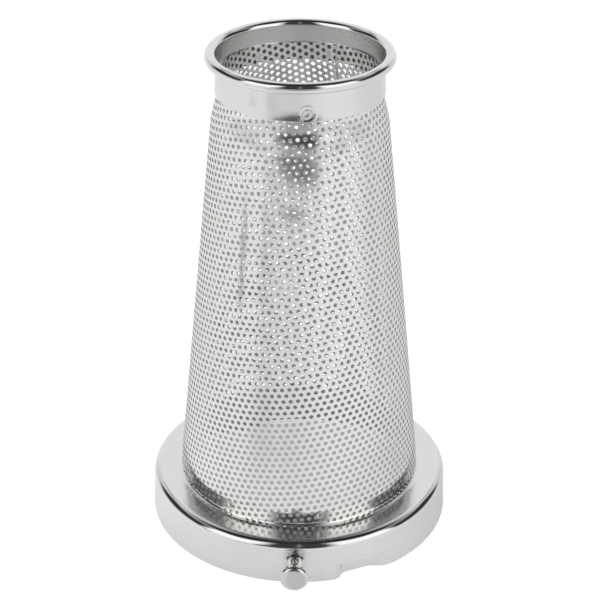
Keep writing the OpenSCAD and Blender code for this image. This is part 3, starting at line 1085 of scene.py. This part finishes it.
def direction_ramp(graph, angle, stops):
    """A grey ramp over the directions -180 to 180."""
    ramp = graph.node("ShaderNodeValToRGB", {0: angle * (1 / 360) + 0.5})
    elements = ramp.color_ramp.elements
    for i, position in ((0, 0.0), (-1, 1.0)):
        elements[i].position = position
        elements[i].color = (stops[i][1],) * 3 + (1,)
    for direction, grey in stops[1:-1]:
        elements.new(direction / 360 + 0.5).color = (grey, grey, grey, 1)
    return Wire(graph, ramp.outputs[0])


def floor_material():
    """Pale and plain to the camera, with a drawn glow and shade for the metal to mirror."""
    material = bpy.data.materials.new("pale_floor")
    graph = Graph(material)
    position = graph.wire("ShaderNodeTexCoord", {}, output="Object")
    grey = 0.40 + graph.noise(position, scale=60.0, detail=3.0, roughness=0.5) * 0.03
    colour = graph.combine("ShaderNodeCombineColor", grey, grey, grey)
    diffuse = graph.wire("ShaderNodeBsdfDiffuse", {"Color": colour})
    # painted contact shadow: ambient occlusion dims the floor's glow near the metal, though not to the
    # camera
    occlusion = graph.wire(
        "ShaderNodeAmbientOcclusion", {"Distance": 0.10}, output="AO", samples=8
    )
    camera_ray = graph.wire("ShaderNodeLightPath", {}, output="Is Camera Ray")
    contact_shade = graph.mix(camera_ray, graph.mix(0.35, 1.0, occlusion), 1.0)
    x, y, _ = graph.split(position)
    radius = graph.math("SQRT", x * x + y * y)
    angle = graph.degrees("ARCTAN2", x, y * -1.0)
    far = direction_ramp(graph, angle, FAR_GLOW)
    near = direction_ramp(graph, angle, NEAR_GLOW)
    glow = graph.mix(graph.band(radius, -1.0, 0.125, 0.025), far, near * 1.12)
    # shade under the cone, left out in front of the front lug's recess
    lug = graph.band(angle, 6.0, 46.0, 3.0) * graph.band(radius, 0.0425, 1.0, 0.0008)
    under = graph.band(radius, -1.0, 0.0521, 0.0006) * (1.0 - lug)
    shade = 1.0 - under * 0.66
    strength = graph.mix(camera_ray, glow * 0.735, 0.92)
    emission = graph.wire("ShaderNodeEmission", {"Strength": contact_shade * shade * strength})
    shader = graph.combine("ShaderNodeAddShader", diffuse, emission)
    graph.output("ShaderNodeOutputMaterial", shader)
    return material


floor = plane("floor", [(-1.6, -0.59, 0), (1.6, -0.59, 0), (1.6, 2.2, 0), (-1.6, 2.2, 0)])
floor.location.z = -0.00005
bpy.context.scene.collection.objects.link(floor)
floor.data.materials.append(floor_material())


# ---------------------------------------------------------------- studio surround
# strength, then two bands that bound it: (measure, start, end, fade) in degrees.
# "turn" is 0 in front and positive to the right, "side" its size, "rise" the elevation,
# "over" runs 0 in front, 90 overhead, 180 behind. Later cards cover earlier ones.
CARDS = [
    (0.95, ("side", 28.0, 200.0, 4.0), ("rise", -120.0, -3.0, 2.0)),  # table past the floor
    (1.10, ("side", 146.0, 200.0, 6.0), ("rise", -10.0, 76.0, 6.0)),  # backdrop
    (1.5, ("side", 29.0, 74.0, 4.0), ("rise", 5.0, 60.0, 4.0)),  # two softboxes
    (0.05, ("side", 74.0, 130.0, 5.0), ("rise", 8.0, 39.0, 4.0)),  # dark gaps beside them
    (0.15, ("side", 144.0, 156.0, 3.0), ("rise", 36.0, 44.0, 3.0)),  # dark patches behind
    (0.50, ("turn", -21.0, 16.0, 9.0), ("rise", -13.0, 9.0, 3.0)),  # grey front
    (0.05, ("turn", -40.0, 24.0, 6.0), ("rise", -120.0, -11.0, 2.5)),  # dark below the front
    (0.06, ("turn", -33.0, 21.0, 5.0), ("rise", 4.0, 17.0, 2.5)),  # dark above the front
    (0.06, ("side", -1.0, 24.0, 5.0), ("rise", 14.0, 66.0, 4.0)),  # dark between softboxes
    (0.40, ("over", 80.0, 118.0, 9.0), ("rise", 40.0, 120.0, 8.0)),  # grey overhead
    (0.04, ("over", 60.0, 103.0, 4.0), ("rise", 46.0, 120.0, 6.0)),  # dark overhead
]


def build_world():
    world = bpy.data.worlds.new("studio")
    bpy.context.scene.world = world
    graph = Graph(world)
    x, y, z = graph.split(graph.wire("ShaderNodeTexCoord", {}, output="Generated"))
    measures = {
        "rise": graph.degrees("ARCSINE", z),
        "turn": graph.degrees("ARCTAN2", x, y * -1.0),
        "over": graph.degrees("ARCTAN2", z, y * -1.0),
    }
    measures["side"] = graph.math("ABSOLUTE", measures["turn"])
    light = 0.88
    for strength, *bounds in CARDS:
        first, second = [graph.band(measures[name], *limits) for name, *limits in bounds]
        light = graph.mix(first * second, light, strength)
    camera_ray = graph.wire("ShaderNodeLightPath", {}, output="Is Camera Ray")
    light = graph.mix(camera_ray, light, 1.3)
    background = graph.wire("ShaderNodeBackground", {"Strength": light})
    graph.output("ShaderNodeOutputWorld", background)


def build_flat(name, angle, distance, width, height, strength):
    """An upright grey card on the floor, facing the axis, seen only in the metal."""
    turn = math.radians(angle)
    centre = Vector((distance * math.sin(turn), -distance * math.cos(turn), 0))
    side = Vector((math.cos(turn), math.sin(turn), 0)) * width / 2
    rise = Vector((0, 0, height))
    corners = (centre - side, centre + side, centre + side + rise, centre - side + rise)
    card = plane(name, [tuple(corner) for corner in corners])
    material = bpy.data.materials.new(name)
    graph = Graph(material)
    emission = graph.wire("ShaderNodeEmission", {"Strength": strength})
    graph.output("ShaderNodeOutputMaterial", emission)
    card.data.materials.append(material)
    bpy.context.scene.collection.objects.link(card)
    card.visible_camera = False
    card.visible_diffuse = False
    card.visible_shadow = False


build_world()
build_flat("flat_a", angle=-64.0, distance=0.30, width=0.034, height=0.05, strength=0.50)
build_flat("flat_b", angle=-38.0, distance=0.34, width=0.060, height=0.05, strength=0.66)


# ---------------------------------------------------------------- camera
def build_camera():
    lens = bpy.data.cameras.new("camera")
    lens.sensor_width = 36.0
    lens.lens = 110.617
    lens.shift_x = 0.00062
    lens.shift_y = -0.00992
    lens.clip_start = 0.05
    camera = bpy.data.objects.new("camera", lens)
    camera.location = (0, -0.5666, 0.38807)
    pitch = Matrix.Rotation(math.radians(61.806), 3, "X")
    roll = Matrix.Rotation(math.radians(0.16), 3, "Z")
    camera.rotation_euler = (pitch @ roll).to_euler()
    bpy.context.scene.collection.objects.link(camera)
    bpy.context.scene.camera = camera


scene = bpy.context.scene
scene.view_settings.view_transform = "Standard"
scene.view_settings.look = "None"
build_camera()

bpy.context.view_layer.update()
